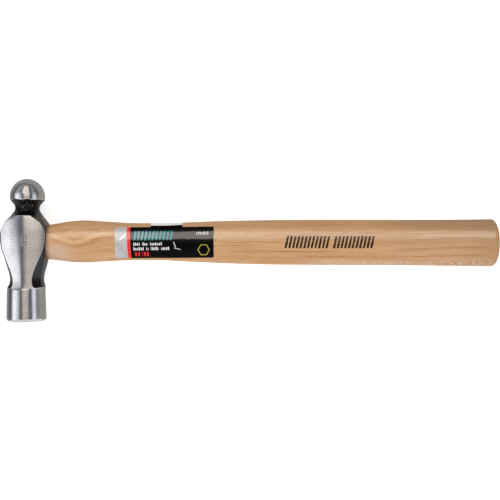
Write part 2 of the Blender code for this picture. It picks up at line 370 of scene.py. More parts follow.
def ball_rings():
    """The neck under the ball and the ball, whose edge is sharp."""
    rings = []
    for height in steps_between((24.5, 16), (29.8, 0)):
        rings.append(round_ring(height, curve(BALL_NECK, height)[0][0]))
    first = math.asin((BALL_SHOULDER + 0.15 - BALL_CENTRE) / BALL_RISE)
    rings.append(round_ring(BALL_SHOULDER - 0.12, BALL_RADIUS * math.cos(first) - 0.12))
    for angle in np.linspace(first, math.radians(89), 56):
        rings.append(round_ring(BALL_CENTRE + BALL_RISE * math.sin(angle),
                                BALL_RADIUS * math.cos(angle)))
    return rings


def head_rings():
    """Every ring of the head, from the striking face to the ball's top."""
    heights = steps_between((POLL_RIM, 12), (-29.4, 16), (-22.5, 22), (-7.5, 16), (6.8, 14),
                            (15.1, 14), (18.25, 4), (CHEEK_TOP, 5), (19.2, 8), (21.5, 8), (24.2, 0))
    body = [head_ring(height) for height in heights]
    return stray(np.array(poll_rings() + body + ball_rings()))


def rim_shift(height, across, depth):
    """How far the poll's rim lies lower at the cheeks than at the sides."""
    facing = depth**2 / np.maximum(across**2 + depth**2, 1e-6)
    return RIM_DROOP * facing * np.exp(-((height + 31.5) / 4.5) ** 2)


def stray(rings):
    """Lower the poll's rim at the cheeks and add the forging's small deviations."""
    heights = rings[:, :, 1].copy()
    rings[:, :, 1] -= rim_shift(heights, rings[:, :, 0], rings[:, :, 2])
    share = np.clip((-40 - heights) / 16, 0, 1)
    rings[:, :, 1] += FACE_TILT * share * rings[:, :, 0]
    rings[:, :, 0] += curve(STRAY, heights[:, 0])[:, 0][:, None]
    return rings


def oval(station, half_height, half_depth, columns=128):
    """A full oval across the handle's axis."""
    angle = np.linspace(0, math.tau, columns, endpoint=False)
    up = np.sign(np.cos(angle)) * np.abs(np.cos(angle)) ** (2 / OVAL_POWER)
    depth = np.sign(np.sin(angle)) * np.abs(np.sin(angle)) ** (2 / OVAL_POWER)
    return np.stack([np.full(columns, station), half_height * up, half_depth * depth], axis=1)


def painted_distance(points):
    """Millimetres into the painted surface from its edge, negative on the ground steel."""
    across, height, depth = (points / MM - (HEAD_X, AXIS_Y, AXIS_Z)).T
    across = across - curve(STRAY, height)[:, 0]
    height = height + rim_shift(height, across, depth)
    cheek = curve(BODY, height)[:, 2] + np.where(across < 0, curve(LEAN, height)[:, 1], 0)
    beside = np.maximum(np.abs(across) - cheek, height - CHEEK_TOP)
    angle = np.arctan2(across, depth)
    drips = np.array([noise.noise(Vector((3.1 * math.sin(a), 3.1 * math.cos(a), 0.7)))
                      + 0.5 * noise.noise(Vector((8.3 * math.sin(a), 8.3 * math.cos(a), 4.2)))
                      for a in angle])
    below_ball = BALL_SHOULDER - 0.1 + 0.7 * drips - height
    above_rim = height - POLL_RIM - 0.5 - 0.25 * drips
    return np.minimum(np.minimum(beside, below_ball), above_rim)


def make_head():
    """The forged head with its eye, and the painted area as a distance on its points."""
    head = new_object("forged_head", tube_mesh("forged_head", head_rings()))
    eye_stations = np.concatenate([np.linspace(-18.5, -15.5, 10), np.linspace(-15, 18.5, 30)])
    eye = tube_mesh("eye", [oval(s, *curve(EYE, s)[0]) for s in eye_stations])
    cut(head, eye)
    mesh = head.data
    points = np.empty(len(mesh.vertices) * 3)
    mesh.vertices.foreach_get("co", points)
    distance = painted_distance(points.reshape(-1, 3))
    attribute = mesh.attributes.new("paint_depth", "FLOAT", "POINT")
    attribute.data.foreach_set("value", distance)
    smooth(head, 38)
    return head


def handle_size(station):
    """Half height and half depth of the handle at a station outside the eye."""
    return curve(HANDLE, station)[0]


def bow(stations):
    """How far the handle's axis rises from straight at one or many stations."""
    return curve(BOW, np.ravel(stations))[:, 0].reshape(np.shape(stations))


def handle_rings():
    """Every ring of the handle, from its end in the eye to the butt."""
    rings = []
    start_height, start_depth = curve(EYE, HANDLE_START)[0] - CLEARANCE
    for shrink in (0.25, 0.6, 0.9, 0.985):
        rings.append(oval(HANDLE_START, start_height * shrink, start_depth * shrink))
    for station in np.linspace(HANDLE_START + 0.15, SHOULDER - 0.1, 40):
        half_height, half_depth = curve(EYE, station)[0] - CLEARANCE
        rings.append(oval(station, half_height, half_depth))
    for station, inset in ((-0.02, 1.1), (0, 0.75), (0.12, 0.42), (0.35, 0.2), (0.75, 0.06)):
        half_height, half_depth = handle_size(SHOULDER)
        rings.append(oval(SHOULDER + station, half_height - inset, half_depth - inset))
    for station in np.linspace(SHOULDER + 1.2, DOME_START, 260):
        rings.append(oval(station, *handle_size(station)))
    half_height, half_depth = handle_size(DOME_START)
    for t in np.sin(np.linspace(0.06, 1, 26) * math.pi / 2):
        scale = (1 - t**DOME_POWER) ** (1 / DOME_POWER) if t < 0.999 else 0.1
        rings.append(oval(DOME_START + DOME_LENGTH * t, half_height * scale, half_depth * scale))
    rings = np.array(rings)
    outside = rings[:, :, 0] > SHOULDER + 0.5
    rings[:, :, 1] += np.where(outside, bow(rings[:, :, 0]), 0)
    return rings


def block_rings(start, end, heights, depths, middle, corner, steps=12):
    """Rings of a tapered block with rounded corners along the handle's axis."""
    rings = []
    for t in np.linspace(0, 1, steps):
        half_height = heights[0] + (heights[1] - heights[0]) * t
        half_depth = depths[0] + (depths[1] - depths[0]) * t
        radius = min(corner, 0.9 * min(half_height, half_depth))
        outline = []
        for quarter in range(4):
            for angle in np.linspace(0, math.pi / 2, 5) + quarter * math.pi / 2:
                sign_up = math.copysign(1, math.cos(quarter * math.pi / 2 + math.pi / 4))
                sign_depth = math.copysign(1, math.sin(quarter * math.pi / 2 + math.pi / 4))
                outline.append((start + (end - start) * t,
                                middle + sign_up * (half_height - radius) + radius * math.cos(angle),
                                sign_depth * (half_depth - radius) + radius * math.sin(angle)))
        rings.append(outline)
    return np.array(rings)


def make_handle(head):
    """The hickory handle with its kerf and slots, seated against the head's side."""
    handle = new_object("hickory_handle", tube_mesh("hickory_handle", handle_rings()))
    cut(handle, head.data.copy())
    wide = 2 * POLL_RADIUS
    tip = HANDLE_START + WOOD_WEDGE_LENGTH
    kerf = tube_mesh("kerf", block_rings(HANDLE_START - 1, tip, (wide, wide),
                                         (WOOD_WEDGE_HALF + CLEARANCE, 0.5), 0, 0.05))
    cut(handle, kerf, *[slot_mesh(side) for side in (1, -1)])
    smooth(handle, 35)
    return handle


def slot_mesh(side):
    """The slot that a steel wedge has opened in the wood."""
    half_wide = STEEL_WEDGE_WIDTH / 2
    return tube_mesh("slot", block_rings(
        HANDLE_START - 1, HANDLE_START + STEEL_WEDGE_LENGTH + 0.2, (STEEL_WEDGE_HALF + CLEARANCE, 0.5),
        (half_wide + CLEARANCE, half_wide - 0.3), side * STEEL_WEDGE_OFFSET, 0.3))


def make_wood_wedge():
    """The hardwood wedge in the kerf, trimmed to the handle's outline."""
    tip = HANDLE_START + WOOD_WEDGE_LENGTH
    wedge = new_object("kerf_wedge", tube_mesh("kerf_wedge", block_rings(
        HANDLE_START + 0.05, tip - 0.3, (16, 16), (WOOD_WEDGE_HALF, 0.4), 0, 0.05, 24)))
    stations = np.linspace(HANDLE_START - 1, tip + 1, 30)
    outline = tube_mesh("outline", [oval(s, *(curve(EYE, s)[0] - CLEARANCE)) for s in stations])
    cut(wedge, outline, operation="INTERSECT")
    cut(wedge, slot_mesh(1), slot_mesh(-1))
    smooth(wedge, 35)
    return wedge


def make_steel_wedge(name, side):
    """A steel cross wedge with its hammered, slightly spread top."""
    start = HANDLE_START - STEEL_WEDGE_PROUD
    rings = block_rings(start, start + STEEL_WEDGE_LENGTH, (STEEL_WEDGE_HALF, 0.35),
                        (STEEL_WEDGE_WIDTH / 2, STEEL_WEDGE_WIDTH / 2 - 0.5),
                        side * STEEL_WEDGE_OFFSET, 0.35, 16)
    middle = rings[0].mean(axis=0)
    rim = []
    for inset, rise in ((0.6, 0), (0.3, 0.02), (0.08, 0.12)):
        ring = rings[0].copy()
        ring[:, 1] -= np.sign(ring[:, 1] - middle[1]) * inset * 0.8
        ring[:, 2] -= np.sign(ring[:, 2] - middle[2]) * inset
        ring[:, 0] += rise
        rim.append(ring)
    rings[0][:, 0] += 0.35
    wedge = new_object(name, tube_mesh(name, np.vstack([np.array(rim), rings])))
    smooth(wedge, 40)
    return wedge


def label_sweep(station, low, high):
    """Points round the handle at one station: front panel, over the top, down the back panel."""
    half_height, half_depth = handle_size(station) + LABEL_LIFT
    panel = np.linspace(low, high, PANEL_COLUMNS + 1)
    depth = half_depth * (1 - np.abs(panel / half_height) ** OVAL_POWER) ** (1 / OVAL_POWER)
    edge = math.acos((high / half_height) ** (OVAL_POWER / 2))
    angle = edge * (1 - np.arange(1, 13) / 12)
    top_up = half_height * np.cos(angle) ** (2 / OVAL_POWER)
    top_depth = half_depth * np.abs(np.sin(angle)) ** (2 / OVAL_POWER)
    up = np.concatenate([panel, top_up])
    out = np.concatenate([depth, top_depth])
    up = np.concatenate([up, up[-2::-1]])
    out = np.concatenate([out, -out[-2::-1]])
    return np.stack([np.full(len(up), station), up + bow(station), out], axis=1)


def label_stations():
    """Stations along the label, close together in its rounded corners."""
    corner = LABEL_CORNER * (1 - np.cos(np.linspace(0, math.pi / 2, 9)))
    return np.concatenate([
        LABEL_START + corner, np.linspace(LABEL_START + LABEL_CORNER, TAB_START, 22)[1:],
        np.linspace(TAB_START, TAB_END, 20)[1:],
        np.linspace(TAB_END, LABEL_END - LABEL_CORNER, 20)[1:], (LABEL_END - corner[::-1])[1:]])


def label_rows(stations):
    """The label's points at every station, with its corners rounded and its slight rise."""
    rows = []
    for station in stations:
        into = min(station - LABEL_START, LABEL_END - station, LABEL_CORNER)
        trim = LABEL_CORNER - math.sqrt(max(LABEL_CORNER**2 - (LABEL_CORNER - into) ** 2, 0))
        rise = LABEL_SLOPE * (station - LABEL_START)
        rows.append(label_sweep(station, LABEL_BOTTOM + trim + rise, LABEL_TOP - trim + rise))
    return np.array(rows)


def label_faces(stations, columns):
    """Faces of both panels, and of the tab that joins them over the top."""
    faces = []
    for i in range(len(stations) - 1):
        has_tab = TAB_START - 0.01 < stations[i] < TAB_END - 0.01
        for j in range(columns - 1):
            if has_tab or j < PANEL_COLUMNS or j >= columns - 1 - PANEL_COLUMNS:
                a = i * columns + j
                faces.append((a, a + 1, a + columns + 1, a + columns))
    return faces


def make_label():
    """The die-cut sticker, as a thin shell whose thickness goes outwards."""
    stations = label_stations()
    points = label_rows(stations)
    faces = label_faces(stations, points.shape[1])
    mesh = bpy.data.meshes.new("sticker")
    mesh.from_pydata(world_points(points.reshape(-1, 3)).tolist(), [], faces)
    builder = bmesh.new()
    builder.from_mesh(mesh)
    loose = [vertex for vertex in builder.verts if not vertex.link_faces]
    bmesh.ops.delete(builder, geom=loose, context="VERTS")
    bmesh.ops.recalc_face_normals(builder, faces=builder.faces)
    builder.normal_update()
    first = builder.faces[:][0]
    outward = first.calc_center_median() - Vector(world_points([(LABEL_START, 0, 0)])[0])
    if first.normal.dot(outward) < 0:
        bmesh.ops.reverse_faces(builder, faces=builder.faces)
    builder.to_mesh(mesh)
    builder.free()
    label = new_object("sticker", mesh)
    solidify = label.modifiers.new("thickness", "SOLIDIFY")
    solidify.thickness = LABEL_THICKNESS * MM
    solidify.offset = 1
    apply_modifiers(label)
    smooth(label, 50)
    return label


# ---------------------------------------------------------------- materials

class Graph:
    """Short calls for building a node tree."""

    def __init__(self, tree):
        self.tree = tree

    def node(self, kind, inputs=None, **settings):
        node = self.tree.nodes.new("ShaderNode" + kind)
        for key, value in settings.items():
            setattr(node, key, value)
        for key, value in (inputs or {}).items():
            self.feed(node.inputs[key], value)
        return node

    def feed(self, socket, value):
        if isinstance(value, bpy.types.NodeSocket):
            self.tree.links.new(value, socket)
        else:
            socket.default_value = value

    def filled(self, node, *values):
        """A node's first output, once its sockets are fed in order."""
        for socket, value in zip(node.inputs, values):
            self.feed(socket, value)
        return node.outputs[0]

    def math(self, operation, *values):
        return self.filled(self.node("Math", operation=operation), *values)

    def add(self, a, b):
        return self.math("ADD", a, b)

    def minus(self, a, b):
        return self.math("SUBTRACT", a, b)

    def times(self, first, *others):
        for other in others:
            first = self.math("MULTIPLY", first, other)
        return first

    def most(self, a, b):
        return self.math("MAXIMUM", a, b)

    def step(self, value, low, high):
        """Smooth step from 0 at low to 1 at high, either way round."""
        node = self.node("MapRange", interpolation_type="SMOOTHSTEP")
        if low < high:
            return self.filled(node, value, low, high, 0, 1)
        return self.filled(node, value, high, low, 1, 0)

    def between(self, value, start, full, fade, end):
        """1 from full to fade, with smooth steps from start and to end."""
        return self.times(self.step(value, start, full), self.step(value, end, fade))

    def bump_at(self, value, centre, width):
        """A bell round a centre, 1 there and about 0 beyond the width."""
        offset = self.math("ABSOLUTE", self.minus(value, centre))
        return self.step(self.math("DIVIDE", offset, width), 1, 0)

    def mix(self, factor, a, b):
        """Colour a at factor 0 and b at 1."""
        node = self.node("Mix", data_type="RGBA", clamp_factor=True)
        self.feed(node.inputs["Factor"], factor)
        for socket, value in zip((node.inputs[6], node.inputs[7]), (a, b)):
            self.feed(socket, (*value, 1) if isinstance(value, tuple) else value)
        return node.outputs[2]

    def noise(self, vector, scale, detail=2, rough=0.5):
        """Noise of one scale, or of a scale for each axis."""
        if isinstance(scale, tuple):
            vector = self.node("Mapping", {"Vector": vector, "Scale": scale}).outputs["Vector"]
            scale = 1
        node = self.node("TexNoise", {"Vector": vector, "Scale": scale, "Detail": detail,
                                      "Roughness": rough})
        return node.outputs["Fac"]

    def axes(self, vector):
        return self.node("SeparateXYZ", {"Vector": vector}).outputs

    def combine(self, x, y, z):
        return self.filled(self.node("CombineXYZ"), x, y, z)

    def repeat(self, value, pitch):
        """0 to 1 over and over, once every pitch."""
        return self.math("FRACT", self.times(value, 1 / pitch))

    def bump(self, height, strength, distance):
        node = self.node("Bump", {"Height": height, "Strength": strength, "Distance": distance})
        return node.outputs["Normal"]

    def shade(self, **values):
        """Feed the Principled shader's sockets by name, with _ for a space."""
        shader = self.tree.nodes["Principled BSDF"]
        for name, value in values.items():
            self.feed(shader.inputs[name.replace("_", " ")], value)


def new_material(name, **constants):
    """A Principled material, with its constants on the shader's own sockets."""
    material = bpy.data.materials.new(name)
    material.use_nodes = True
    graph = Graph(material.node_tree)
    graph.shade(**constants)
    return material, graph


def design_axes(g):
    """Object coordinates in millimetres from the crossing of the two axes: vector, s, h, d."""
    place = g.node("TexCoord").outputs["Object"]
    origin = tuple(-value * MM for value in (HEAD_X, AXIS_Y, AXIS_Z))
    moved = g.filled(g.node("VectorMath", operation="ADD"), place, origin)
    vector = g.node("VectorMath", {"Vector": moved, "Scale": 1 / MM}, operation="SCALE").outputs[0]
    s, h, d = list(g.axes(vector))[:3]
    return vector, s, h, d


def steel_material():
    """Ground steel on the ball, cheeks and poll, gloss black paint over the forged rest."""
    material, g = new_material("head_steel_and_paint", Specular_IOR_Level=0.22)
    vector, s, h, d = design_axes(g)
    depth = g.node("Attribute", attribute_name="paint_depth").outputs["Fac"]
    ragged = g.times(g.minus(g.noise(vector, 1.6, 3), 0.5), 0.25)
    paint = g.step(g.add(depth, ragged), -0.04, 0.08)
    bare = g.minus(1, paint)
    fine = g.noise(vector, 1.1, 4, 0.75)
    across = g.noise(vector, (0.22, 2, 0.22), 3, 0.7)
    marks = stamped_marks(g, vector, s, h, d)
    steel = ground_steel(g, vector, s, h, fine, across)
    steel = g.mix(g.times(marks, 0.8), steel, (0.14, 0.12, 0.11))
    steel_rough = g.add(0.06, g.times(fine, 0.09))
    paint_rough = g.add(0.12, g.times(g.noise(vector, 0.7), 0.12))

    peel = g.noise(vector, 0.62)
    grain = g.add(g.times(across, 0.2), g.times(fine, 0.8))
    relief = g.add(g.times(peel, 0.20, paint), g.times(grain, 0.003, bare))
    relief = g.add(relief, g.times(g.step(depth, -0.1, 0.15), 0.03))
    relief = g.minus(relief, g.times(marks, 0.10))
    g.shade(Base_Color=g.mix(paint, steel, paint_color(g, vector, s, h)), Metallic=bare,
            Roughness=g.add(g.times(steel_rough, bare), g.times(paint_rough, paint)),
            Normal=g.bump(relief, 1, MM))
    return material


def ground_steel(g, vector, s, h, fine, across):
    """Steel with its grinding grain, darker on the upper left of the cheek, with a painted shadow on the
    left just above the poll's rim.
    """
    cloud = g.noise(vector, 0.10)
    tone = g.add(g.times(across, 0.1), g.add(g.times(fine, 0.65), g.times(cloud, 0.25)))
    steel = g.mix(g.step(tone, 0.38, 0.62), (0.64, 0.635, 0.63), (0.86, 0.86, 0.86))
    darker_upper_left = g.times(g.step(s, -8, -14), g.step(h, 1, 8))
    # Painted shadow: darker steel on the left just above the poll's rim, under its fillet.
    painted_rim_shadow = g.times(g.between(h, -32.5, -31.5, -29, -26.5), g.step(s, -1, -4))
    return g.mix(g.most(g.times(darker_upper_left, 0.4), g.times(painted_rim_shadow, 0.6)), steel, (0.42, 0.43, 0.44))


def paint_color(g, vector, s, h):
    """Black paint, deepest on the neck and a browner grey on the upper shoulders, with painted highlights on
    the neck and a painted bluish reflection low on the body.
    """
    mottle = g.noise(vector, 0.5, 3, 0.6)
    away = g.step(g.math("ABSOLUTE", s), 7, 10)
    shoulder = g.times(g.between(h, -6, 6, 24, 30), away)
    # Painted reflection: a bluish grey low on the body, towards the poll.
    lower = g.between(h, -28, -22.5, -9, -3)
    color = g.mix(mottle, (0.0015, 0.0015, 0.002), (0.004, 0.004, 0.005))
    # Painted highlights: small pale specks on the neck.
    painted_neck_glint = g.times(g.step(g.noise(vector, 0.62, 2, 0.6), 0.64, 0.70),
                    g.between(h, 20, 22, 29, 31), g.step(g.math("ABSOLUTE", s), 8, 6))
    color = g.mix(g.times(painted_neck_glint, 0.8), color, (0.28, 0.29, 0.31))
    color = g.mix(g.times(shoulder, 0.9), color, g.mix(mottle, (0.055, 0.050, 0.042), (0.085, 0.077, 0.067)))
    return g.mix(g.times(lower, 0.85), color, g.mix(mottle, (0.022, 0.027, 0.031), (0.045, 0.052, 0.056)))


def box_mask(g, x, y, low_x, high_x, low_y, high_y, soft=0.12):
    """1 inside a rectangle, with soft edges."""
    return g.times(g.between(x, low_x - soft, low_x + soft, high_x - soft, high_x + soft),
                   g.between(y, low_y - soft, low_y + soft, high_y - soft, high_y + soft))


def stamped_marks(g, vector, s, h, d):
    """Plain punch marks on the upper cheek: two broken strokes and a faint row of slanted ticks."""
    front = g.step(d, 8, 9)
    wear = g.noise(vector, 1.7, 3, 0.6)
    upper = box_mask(g, s, h, 2.3, 3.3, 1.8, 5.4, 0.35)
    lower = box_mask(g, s, h, 2.1, 3.1, -2.8, 0.6, 0.35)
    strokes = g.times(g.most(upper, lower), g.step(wear, 0.36, 0.52))
    beside = g.times(box_mask(g, s, h, -0.9, 0.5, -3, 5.6, 0.4), g.step(wear, 0.50, 0.62))
    row = box_mask(g, s, h, -8.4, -5.2, -9.5, 10.5, 0.5)
    slanted = g.add(h, g.times(s, 0.35))
    tick = g.times(g.step(g.repeat(slanted, 2.3), 0.5, 0.8), g.step(wear, 0.35, 0.6))
    faint = g.times(row, tick, 0.3)
    return g.times(g.most(g.most(strokes, g.times(beside, 0.35)), faint), front)


def hickory_material():
    """Lacquered hickory: straight fine grain, a dipping figure behind the head, ink marks."""
    material, g = new_material("lacquered_hickory", Coat_Weight=0.17, Coat_Roughness=0.18,
                               Specular_IOR_Level=0)
    vector, s, h, d = design_axes(g)
    wander = g.times(g.minus(g.noise(vector, (0.012, 0.05, 0.05)), 0.5), 5)
    dip = g.times(g.bump_at(s, 36, 26), g.bump_at(h, -1, 13))
    dipped = g.add(h, g.add(wander, g.times(dip, 5.5)))
    grain_place = g.combine(s, dipped, d)

    lines = g.noise(grain_place, (0.018, 2.4, 2.4), 3, 0.6)
    fibre = g.noise(grain_place, (0.16, 5, 5), 3, 0.7)
    wood = wood_grain(g, grain_place, lines, fibre)
    wood = head_figure(g, wood, s, dipped)
    wood = grip_streaks(g, wood, s, dipped)
    pores = g.noise(grain_place, (0.35, 3.2, 3.2), 1)
    pore = g.times(g.step(pores, 0.68, 0.76), 0.55)
    wood = g.mix(pore, wood, (0.17, 0.08, 0.035))
    speckle = g.noise(vector, 1.1, 3, 0.7)
    wood = g.mix(g.times(g.step(speckle, 0.45, 0.75), 0.22), wood, (0.74, 0.55, 0.36))
    wood = grime_and_painted_shade(g, wood, s, h, speckle)
    # Painted glints of reflected light along the grip's lower edge.
    wood = painted_edge_glints(g, wood, vector, s, h)
    wood = g.mix(g.times(ink_mark(g, s, h, d, speckle), 0.97), wood, (0.010, 0.005, 0.003))

    swell = g.noise(vector, (0.035, 0.35, 0.35))
    relief = g.add(g.times(fibre, 0.035), g.add(g.times(lines, 0.06), g.times(swell, 0.25)))
    relief = g.minus(relief, g.times(pore, 0.06))
    brushed = g.noise(vector, (0.045, 0.55, 0.55), 3, 0.6)
    g.shade(Base_Color=wood, Roughness=g.add(0.42, g.times(fibre, 0.16)),
            Normal=g.bump(relief, 0.7, MM), Coat_Normal=g.bump(brushed, 0.6, 0.32 * MM))
    return material


def wood_grain(g, place, lines, fibre):
    """Hickory's colour: broad pale and tan figure, brown bands and lines, dark fibres."""
    broad = g.noise(place, (0.006, 0.16, 0.16))
    bands = g.noise(place, (0.010, 0.7, 0.7), 3, 0.6)
    light, tan, brown = (0.60, 0.367, 0.20), (0.53, 0.30, 0.144), (0.39, 0.186, 0.075)
    wood = g.mix(g.step(broad, 0.35, 0.65), tan, light)
    wood = g.mix(g.times(g.step(bands, 0.50, 0.68), 0.55), wood, brown)
    wood = g.mix(g.times(g.step(lines, 0.54, 0.70), 0.6), wood, brown)
    wood = g.mix(g.times(g.step(lines, 0.44, 0.28), 0.35), wood, (0.68, 0.43, 0.24))
    return g.mix(g.times(g.step(fibre, 0.48, 0.66), 0.45), wood, (0.36, 0.18, 0.068))


def head_figure(g, wood, s, level):
    """The pale band and the brown band beneath it that dip behind the head."""
    near_head = g.between(s, 17, 22, 58, 74)
    pale = g.times(g.bump_at(level, 5.6, 1.7), near_head)
    dark = g.times(g.bump_at(level, 3.2, 1.5), near_head, g.step(s, 20, 30))
    wood = g.mix(g.times(pale, 0.6), wood, (0.72, 0.46, 0.26))
    return g.mix(g.times(dark, 0.65), wood, (0.42, 0.20, 0.072))


def grip_streaks(g, wood, s, level):
    """Thin reddish-brown streaks along the grip."""
    streaks = ((-9.6, 185, 330), (-3.8, 255, 330), (2.9, 262, 326), (0.6, 134, 190),
               (-6.5, 140, 225), (-1.6, 132, 172))
    for height, start, end in streaks:
        along = g.between(s, start, start + 18, end - 15, end)
        streak = g.times(g.bump_at(level, height, 0.8), along, 0.7)
        wood = g.mix(streak, wood, (0.36, 0.155, 0.06))
    return wood


def painted_edge_glints(g, wood, vector, s, h):
    """Pale painted glints of reflected light along the grip's lower edge."""
    glint_noise = g.noise(vector, (0.45, 0.8, 0.8), 3, 0.7)
    share = g.times(g.step(h, -11.5, -15), g.step(s, 175, 215), g.step(glint_noise, 0.42, 0.62), 0.5)
    return g.mix(share, wood, (0.74, 0.62, 0.50))


def grime_and_painted_shade(g, wood, s, h, speckle):
    """Grime and painted contact shadow where the wood meets the steel, paler wood low on the side near the
    head, darker wood towards the butt, and painted shade greying the upper edge, most towards the butt.
    """
    cream = g.times(g.step(s, 40, 24), g.step(h, 1.5, -4))
    wood = g.mix(g.times(cream, 0.6), wood, (0.58, 0.425, 0.33))
    # Dirt and painted contact shadow: dark wood next to the head.
    seam_grime_and_shadow = g.step(g.add(s, g.times(speckle, 2)), 20.5, 15.8)
    wood = g.mix(g.times(seam_grime_and_shadow, 0.75), wood, (0.12, 0.052, 0.026))
    # Painted shade: the upper edge greyer, more so towards the butt.
    ridge = g.step(g.add(h, g.times(speckle, 3)), 8.5, 14)
    towards_butt = g.step(s, 230, 300)
    butt = g.step(s, 300, 335)
    wood = g.mix(g.add(g.times(towards_butt, 0.22), g.times(butt, 0.2)), wood, (0.26, 0.155, 0.085))
    grey = g.times(ridge, g.add(0.12, g.times(towards_butt, 0.48)))
    return g.mix(grey, wood, (0.30, 0.205, 0.125))


def ink_mark(g, s, h, d, speckle):
    """A plain row of slanted, unevenly printed ink strokes in two groups on the grip."""
    slanted = g.minus(s, g.times(h, 0.22))
    along = g.minus(slanted, 183.5)
    uneven = g.noise(g.combine(along, h, 0), 0.35, 2, 0.6)
    stroke = g.bump_at(g.repeat(along, 2.6), 0.5, g.add(0.2, g.times(uneven, 0.58)))
    ends = g.times(g.minus(uneven, 0.5), 1.5)
    zone = box_mask(g, along, g.add(h, ends), 0, 62.4, -4.2, 4.3, 0.2)
    gap = box_mask(g, along, h, 31.2, 33.8, -9, 9, 0.1)
    worn = g.step(speckle, 0.74, 0.60)
    return g.times(g.step(stroke, 0.15, 0.5), zone, g.minus(1, gap), worn, g.step(d, 4, 5))


def wedge_wood_material():
    """Raw hardwood of the kerf wedge."""
    material, g = new_material("wedge_wood")
    grain = g.noise(design_axes(g)[0], (0.15, 0.6, 4), 3, 0.65)
    g.shade(Base_Color=g.mix(g.step(grain, 0.35, 0.7), (0.42, 0.24, 0.12), (0.24, 0.12, 0.055)),
            Roughness=g.add(0.55, g.times(grain, 0.2)), Normal=g.bump(grain, 0.5, 0.1 * MM))
    return material


def wedge_steel_material():
    """Sheared steel of the cross wedges, dented by the hammer that drove them."""
    material, g = new_material("wedge_steel", Metallic=1)
    vector = design_axes(g)[0]
    dents = g.noise(vector, 0.7, 3, 0.6)
    scale = g.noise(vector, 2.4, 4, 0.7)
    g.shade(Base_Color=g.mix(g.step(scale, 0.4, 0.7), (0.36, 0.36, 0.37), (0.17, 0.16, 0.155)),
            Roughness=g.add(0.25, g.times(scale, 0.3)),
            Normal=g.bump(g.add(g.times(dents, 0.3), g.times(scale, 0.05)), 1, MM))
    return material


def sticker_material():
    """Printed film: black, with a silver end, a red stripe and plain blocks of colour."""
    material, g = new_material("printed_sticker", Coat_Weight=0.15, Coat_Roughness=0.12,
                               Specular_IOR_Level=0)
    vector, s, up, d = design_axes(g)
    h = g.minus(up, g.times(g.minus(s, LABEL_START), LABEL_SLOPE))
    haze = g.noise(vector, 0.8, 3, 0.6)
    ink = g.mix(g.times(haze, 0.002), (0.0008, 0.0008, 0.001), (0.3, 0.3, 0.3))
    ink = teal_bars(g, ink, s, h)
    for along, across, gaps, pitch, color in PRINT_LINES:
        ink = greeked_line(g, ink, s, h, along, across, gaps, pitch, color)
    ink = g.mix(g.times(hexagon_ring(g, s, h), 0.7), ink, (0.50, 0.44, 0.06))
    slanted = g.minus(s, g.times(h, -0.032))
    ink = g.mix(g.step(slanted, 75.25, 75.05), ink, RED_INK)
    ink = g.mix(g.step(slanted, 72.95, 72.75), ink, silver_end(g, vector, s, h))
    tab = g.times(g.step(d, 6.4, 6.2), g.step(h, 0, 1))
    back = g.step(d, 0.2, -0.2)
    ink = g.mix(g.most(tab, back), ink, (0.78, 0.76, 0.73))
    # Painted glints off two small creases in the film.
    ink = g.mix(painted_crease_glints(g, s, h), ink, (0.75, 0.75, 0.73))
    wrinkle = g.noise(vector, (0.10, 0.3, 0.3))
    g.shade(Base_Color=ink, Roughness=g.add(0.22, g.times(haze, 0.15)),
            Normal=g.bump(g.add(wrinkle, g.times(haze, 0.02)), 0.5, 0.2 * MM),
            Coat_Normal=g.bump(wrinkle, 0.5, 0.2 * MM))
    return material


def teal_bars(g, ink, s, h):
    """A row of slanted teal bars, darker towards the butt."""
    slant = g.minus(s, g.times(h, 0.16))
    block = box_mask(g, slant, h, 76.9, 104.6, 1.1, 7.5)
    bars = g.step(g.repeat(g.minus(slant, 76.9), 2.55), 0.68, 0.52)
    teal = g.mix(g.step(s, 84, 106), (0.075, 0.28, 0.32), (0, 0.19, 0.23))
    return g.mix(g.times(block, bars), ink, teal)


def silver_end(g, vector, s, h):
    """The silver end with its two dark strokes, cloudy patches and one painted highlight off a creased spot.
    """
    streak = g.add(h, g.times(s, 1.05))
    stroke = g.most(g.bump_at(streak, 66.6, 0.5), g.times(g.bump_at(streak, 69, 0.5), 0.7))
    stroke = g.times(stroke, g.step(h, 0, -1.5), 0.6)
    silver = g.mix(stroke, (0.48, 0.465, 0.47), (0.13, 0.13, 0.13))
    cloud = g.times(g.step(g.noise(vector, 0.25, 1), 0.45, 0.6), 0.3)
    silver = g.mix(cloud, silver, (0.32, 0.31, 0.32))
    # Painted highlight where the film is creased.
    painted_crease_highlight = g.times(g.bump_at(g.minus(h, s), -66.2, 1.9),
                     box_mask(g, s, h, 67.2, 72.2, 0.8, 5.8, 1.2), 0.8)
    return g.mix(painted_crease_highlight, silver, (0.92, 0.90, 0.88))


def greeked_line(g, ink, s, h, along, across, gaps, pitch, color):
    """Uneven dashes between gaps, standing for a line of print."""
    low, high = across
    letter = g.repeat(g.minus(s, along[0]), pitch)
    dash = g.between(letter, 0.12, 0.34, 0.66, 0.88)
    uneven = g.noise(g.combine(s, along[0], low), 0.9, 1)
    top = g.add(high - 0.55, g.times(g.step(uneven, 0.48, 0.54), 0.55))
    bar = box_mask(g, s, h, along[0], along[1], low, high + 0.1)
    bar = g.times(bar, g.step(g.minus(h, top), 0.12, -0.12))
    for gap in gaps:
        dash = g.times(dash, g.minus(1, g.step(g.bump_at(s, gap, 1.1), 0.05, 0.4)))
    return g.mix(g.times(bar, dash, 0.95), ink, color)


